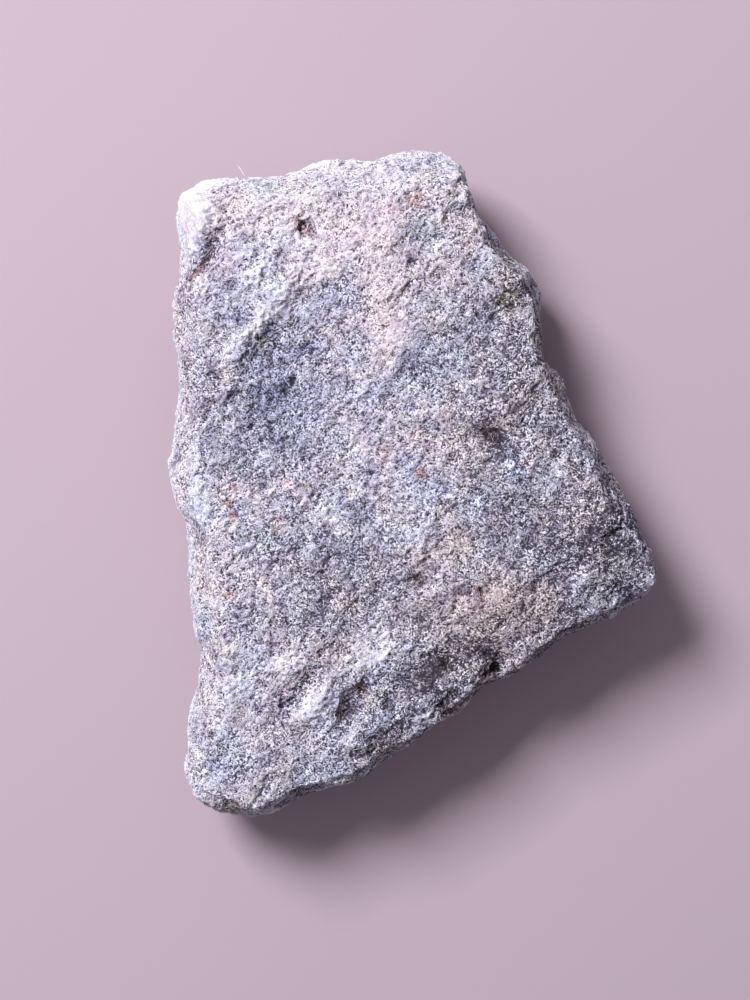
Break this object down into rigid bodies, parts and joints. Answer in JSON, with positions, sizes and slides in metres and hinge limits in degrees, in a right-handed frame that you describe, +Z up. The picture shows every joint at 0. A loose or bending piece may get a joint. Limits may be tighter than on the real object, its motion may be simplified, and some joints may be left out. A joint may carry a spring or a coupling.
{
  "type": "raw larimar stone",
  "caption": "Hand-sized broken slab of granular grey-blue rock with a pale crusted corner, lying flat on a small level spot of its underside.",
  "frame": {"origin": "under the middle of the stone's box, on the surface it rests on", "axes": "+Z up through the broad face, +Y along the stone towards its white-crusted end, +X across it towards its sharp corner"},
  "size_m": [0.0662, 0.0904, 0.0195],
  "materials": {
    "larimar": "dry broken granular rock, matt, grey-blue to lilac with fine white fibres, pink-beige clouds and a white crust at one corner"
  },
  "bodies": {
    "root": {"raw_larimar": "larimar"}
  },
  "joints": []
}
